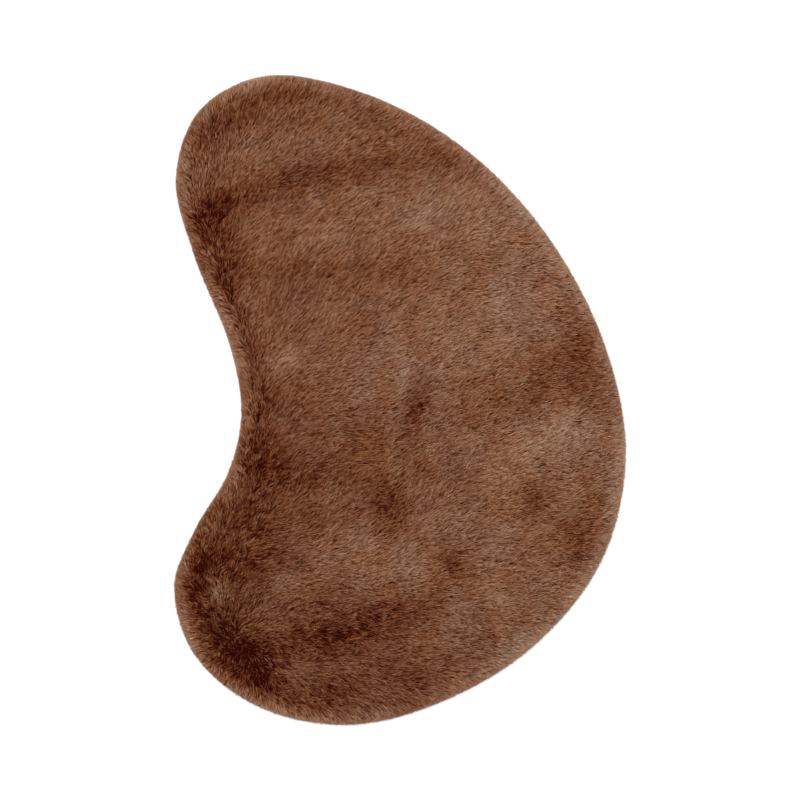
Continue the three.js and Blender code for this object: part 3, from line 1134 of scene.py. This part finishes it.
class RUG_OT_make_nap(bpy.types.Operator):
    """Make the nap: hairs in small tufts that lie over the pelt, in four stretches of the rug"""

    bl_idname = "rug.make_nap"
    bl_label = "Make Nap"

    def execute(self, context):
        shape = context.scene.rug_shape
        rng = np.random.default_rng(SEED)
        tufts, distance, outward = nap_tufts(shape, rng)
        direction, lie, against = fan_direction(tufts, distance, outward)
        tone = fur_tone(tufts, lie)
        in_shade = 1 - smooth_step(0, TONE["shade_ends"], tone)
        near_rim = np.exp(-((distance / (LOCK_REACH * MM)) ** 2))
        lean, gather = rim_locks(tufts + outward * distance[:, None], outward)
        turn = nap_turn(rng, tufts, lie, in_shade) + NAP_TURN["lock"] * near_rim * lean
        direction = swung(direction, turn)
        reach, tip_inset = nap_reach(rng, shape, direction, lie, distance, outward)
        lift = rng.normal(0, 1, len(tufts))
        local = pile_share(tufts, shape)
        root = np.column_stack([tufts, profile(ROOT_PROFILE, distance) * local])
        top = profile(TOP_PROFILE, tip_inset) * local
        top += (NAP_TIP["lift"] * lift - NAP_TIP["drop"]) * MM
        tip = np.column_stack([tufts + direction * reach[:, None], top])
        rise = NAP_BOW["share"] * (tip[:, 2] - root[:, 2])
        bow = np.clip(rise, NAP_BOW["least"] * MM, NAP_BOW["most"] * MM)
        parts = tuft_hairs(rng, shape, root, tip, bow, NAP_SPREAD * MM)

        tone = nap_tone(rng, tone, tufts, in_shade, lift)
        band = (LIGHT_BAND + LIGHT_WIDENS * against) * MM
        tone += RIM_LIGHTENING * np.exp(-((np.maximum(tip_inset, 0) / band) ** 2))
        # Painted light where the rim's locks gather, painted shade in the gaps between them
        tone += NAP_TONE["locks"] * near_rim * gather
        hairs = shape.hairs_per_tuft
        count = len(tufts) * hairs
        tone = np.repeat(tone, hairs) + dark_scatter(rng, count, *NAP_TONE["hair"])
        top_hair = np.arange(count) % hairs == 0
        for part in parts[1:3]:
            part[top_hair, 2] += TOP_HAIR_LIFT * MM
        # Painted light on the top hair of each tuft, painted shade on those under it
        tone += np.where(top_hair, NAP_TONE["top_hair"], NAP_TONE["painted_under_shade"])
        cool = rng.uniform(0, 1, count) < np.repeat(cool_share(tufts, in_shade), hairs)

        order = np.argsort(np.repeat(tufts[:, 1], hairs), kind="stable")
        material = hair_material()
        names = ("nap_foot", "nap_broad_lobe", "nap_middle", "nap_narrow_lobe")
        for name, chosen in zip(names, np.array_split(order, len(names))):
            mesh = hair_mesh(name, *(part[chosen] for part in parts), tone[chosen], cool[chosen])
            new_object(name, mesh, material)
        return {"FINISHED"}


class RUG_OT_make_rim(bpy.types.Operator):
    """Make the rim fur: tufts all round the rug that fan outwards and droop to the floor"""

    bl_idname = "rug.make_rim"
    bl_label = "Make Rim Fur"

    def execute(self, context):
        shape = context.scene.rug_shape
        rng = np.random.default_rng(RIM_SEED)
        count = shape.rim_tufts
        edge, outward = rim_places(rng, count)
        share = rng.permutation((np.arange(count) + 0.5) / count)
        section = rim_section(share)
        place = edge - outward * section["root_inset"][:, None]
        direction, lie, _ = fan_direction(place, section["root_inset"], outward)
        direction += rng.normal(0, RIM_TUFT["scatter"], (count, 2))
        lean, gather = rim_locks(edge, outward)
        direction += RIM_TUFT["lean"] * sideways_of(outward) * lean[:, None]
        past = np.maximum((direction * outward).sum(axis=1), RIM_TUFT["least_outward"])
        reach = section["root_inset"] - section["tip_inset"]
        reach = reach * rng.uniform(*RIM_TUFT["reach"], count) / past
        local = pile_share(place, shape)
        root = np.column_stack([place, section["root_height"] * local])
        top = section["tip_height"] * local
        tip = np.column_stack([place + direction * reach[:, None], top])
        bow = np.full(count, RIM_TUFT["bow"] * MM)
        parts = tuft_hairs(rng, shape, root, tip, bow, RIM_TUFT["spread"] * MM)

        tone = fur_tone(place, lie) + RIM_LIGHTENING * np.interp(share, *RIM_LIGHT)
        # Painted light where the locks gather, painted shade in the gaps between them
        tone += rng.normal(0, RIM_TUFT["tone_scatter"], count) + RIM_TUFT["locks"] * gather
        hairs = shape.hairs_per_tuft
        tone = np.repeat(tone, hairs) + dark_scatter(rng, count * hairs, *RIM_TUFT["hair"])
        cool = rng.uniform(0, 1, count * hairs) < RIM_TUFT["cool"]
        mesh = hair_mesh("rim_fur", *parts, tone, cool)
        new_object("rim_fur", mesh, bpy.data.materials[HAIR_FINISH])
        return {"FINISHED"}


class RUG_OT_declare_cloth(bpy.types.Operator):
    bl_idname = "rug.declare_cloth"
    bl_label = "Declare Cloth"

    def execute(self, context):
        line = outline(PELT_COLUMNS)
        return {"FINISHED"}


class RUG_OT_make_stage(bpy.types.Operator):
    """Make the stage: a plain pale floor, soft light and a camera straight above the rug"""

    bl_idname = "rug.make_stage"
    bl_label = "Make Stage"

    def execute(self, context):
        scene, look = context.scene, context.scene.stage_look
        corners = [(-1, -1), (1, -1), (1, 1), (-1, 1)]
        points = [(x * FLOOR_HALF, y * FLOOR_HALF, -FLOOR_DROP) for x, y in corners]
        mesh = bpy.data.meshes.new("floor")
        mesh.from_pydata(points, [], [(0, 1, 2, 3)])
        floor = bpy.data.objects.new("floor", mesh)
        scene.collection.objects.link(floor)
        material, shader = principled("Pale Floor")
        shader.inputs["Base Color"].default_value = (*look.floor_color, 1)
        shader.inputs["Roughness"].default_value = 0.9
        mesh.materials.append(material)

        world = bpy.data.worlds.new("Soft Sky")
        world.use_nodes = True
        sky = world.node_tree.nodes["Background"]
        sky.inputs["Color"].default_value = (1, 1, 1, 1)
        sky.inputs["Strength"].default_value = look.sky_strength
        scene.world = world

        key = bpy.data.lights.new("key", "AREA")
        key.shape = "DISK"
        key.size = KEY_WIDTH
        key.energy = look.key_power
        lamp = bpy.data.objects.new("key", key)
        lamp.location = KEY_PLACE
        lamp.rotation_euler = (-lamp.location).to_track_quat("-Z", "Y").to_euler()
        scene.collection.objects.link(lamp)

        camera = bpy.data.cameras.new("camera")
        camera.lens = look.camera_lens
        camera.sensor_width = 36
        camera.clip_end = 100
        eye = bpy.data.objects.new("camera", camera)
        middle = (RUG_HIGH + RUG_LOW) / 2
        distance = look.frame_width * camera.lens / camera.sensor_width
        eye.location = Vector((middle[0], middle[1], distance))
        scene.collection.objects.link(eye)
        scene.camera = eye
        scene.view_settings.view_transform = "Standard"
        return {"FINISHED"}


class RUG_PT_parts(bpy.types.Panel):
    """Lists the steps that make the rug, with their sizes and colours"""

    bl_idname = "RUG_PT_parts"
    bl_label = "Fur Rug"
    bl_space_type = "VIEW_3D"
    bl_region_type = "UI"
    bl_category = "Fur Rug"

    def draw(self, context):
        for group in SETTINGS:
            settings = getattr(context.scene, group)
            box = self.layout.box()
            for name in settings.bl_rna.properties.keys():
                if name not in ("rna_type", "name"):
                    box.prop(settings, name)
        for step in STEPS:
            self.layout.operator(step.bl_idname)


STEPS = (
    RUG_OT_make_pelt,
    RUG_OT_make_nap,
    RUG_OT_make_rim,
    RUG_OT_make_stage,
    RUG_OT_declare_cloth,
)
SETTINGS = {"rug_shape": RugShape, "fur_colors": FurColors, "stage_look": StageLook}
CLASSES = (*SETTINGS.values(), *STEPS, RUG_PT_parts)


def register():
    for cls in CLASSES:
        bpy.utils.register_class(cls)
    for name, cls in SETTINGS.items():
        setattr(bpy.types.Scene, name, bpy.props.PointerProperty(type=cls))


def unregister():
    for name in SETTINGS:
        delattr(bpy.types.Scene, name)
    for cls in reversed(CLASSES):
        bpy.utils.unregister_class(cls)


def main():
    """Makes every piece in order."""
    register()
    bpy.ops.rug.make_pelt()
    bpy.ops.rug.make_nap()
    bpy.ops.rug.make_rim()
    bpy.ops.rug.make_stage()
    bpy.ops.rug.declare_cloth()


if __name__ == "__main__":
    main()
